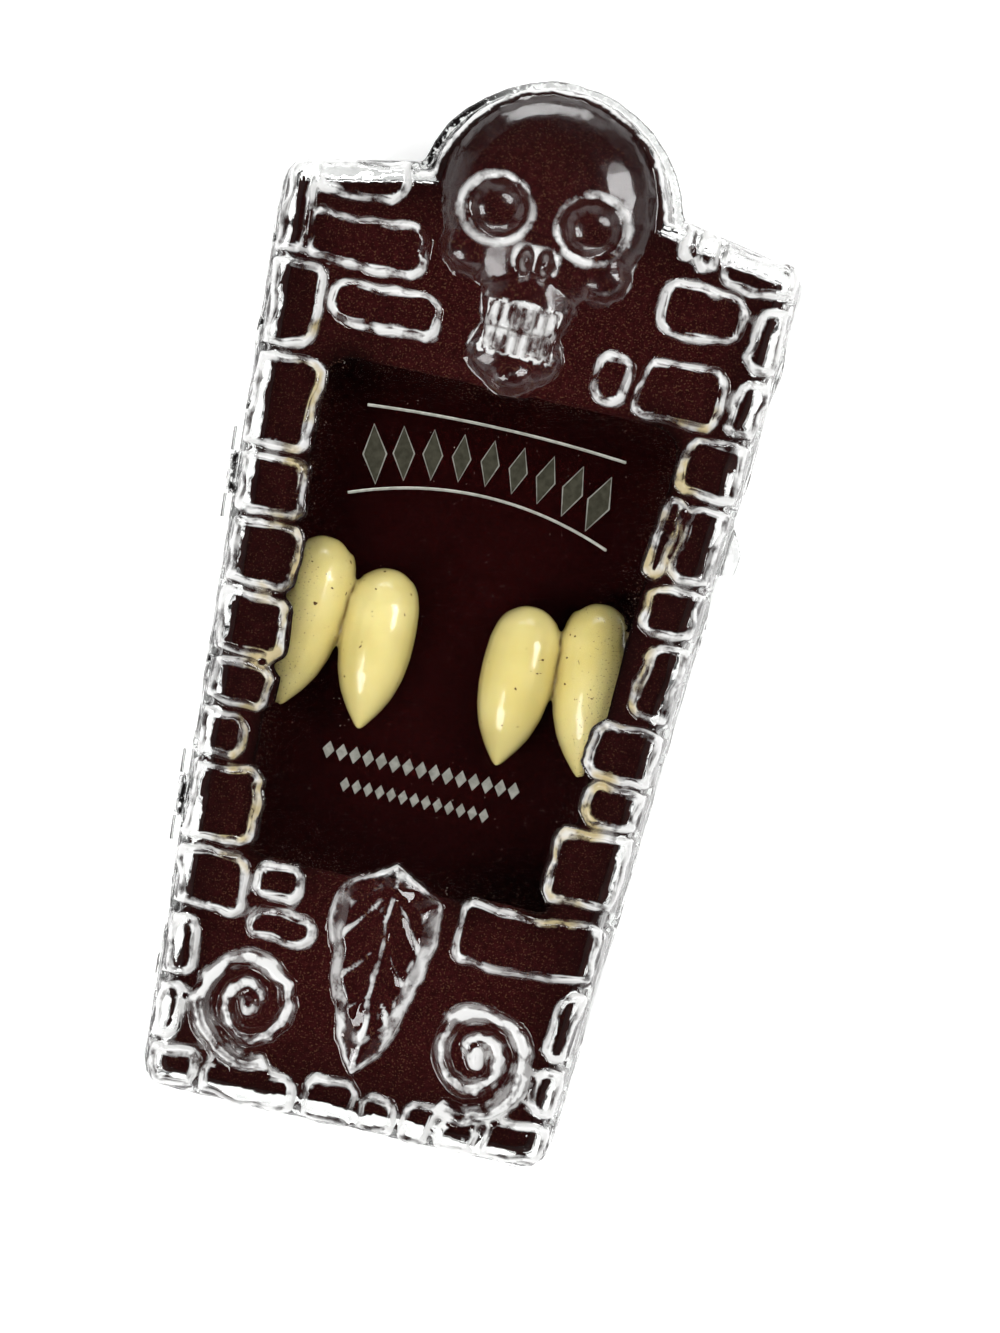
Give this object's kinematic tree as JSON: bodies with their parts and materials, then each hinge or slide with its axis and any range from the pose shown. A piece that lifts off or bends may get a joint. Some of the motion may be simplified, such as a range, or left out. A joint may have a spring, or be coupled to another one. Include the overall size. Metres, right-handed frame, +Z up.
{
  "type": "double vampire fang caps in a hinged coffin-shaped case",
  "caption": "Vampire fang denture of double canine caps, hollow behind, lying on a flocked pad in a clear coffin-shaped case whose lid is moulded with stone blocks, a skull and scrolls.",
  "frame": {"origin": "centre of the case's footprint, on its flat underside", "axes": "+Y along the case to its domed head, +X to the right as seen from above with the head up, +Z up through the lid"},
  "size_m": [0.055, 0.1104, 0.0218],
  "materials": {
    "clear_base": "clear moulded polystyrene, glossy",
    "clear_lid": "clear moulded polystyrene, glossy, whitish on its edges",
    "pad_flock": "very dark maroon flock with a little lint",
    "border_flock": "dark maroon flock",
    "fang_acrylic": "polished ivory dental acrylic"
  },
  "bodies": {
    "case": {"case_base": "clear_base", "flocked_pad": "pad_flock", "fang_pair_left": "fang_acrylic", "fang_pair_right": "fang_acrylic"},
    "lid": {"case_lid": "clear_lid", "border_liner": "border_flock"}
  },
  "joints": [
    {"name": "lid_hinge", "type": "hinge", "parent": "case", "child": "lid", "pos_m": [-0.02475, -0.00701, 0.00605], "axis": [0.0652, -0.9979, 0], "range_deg": [0, 110]}
  ]
}
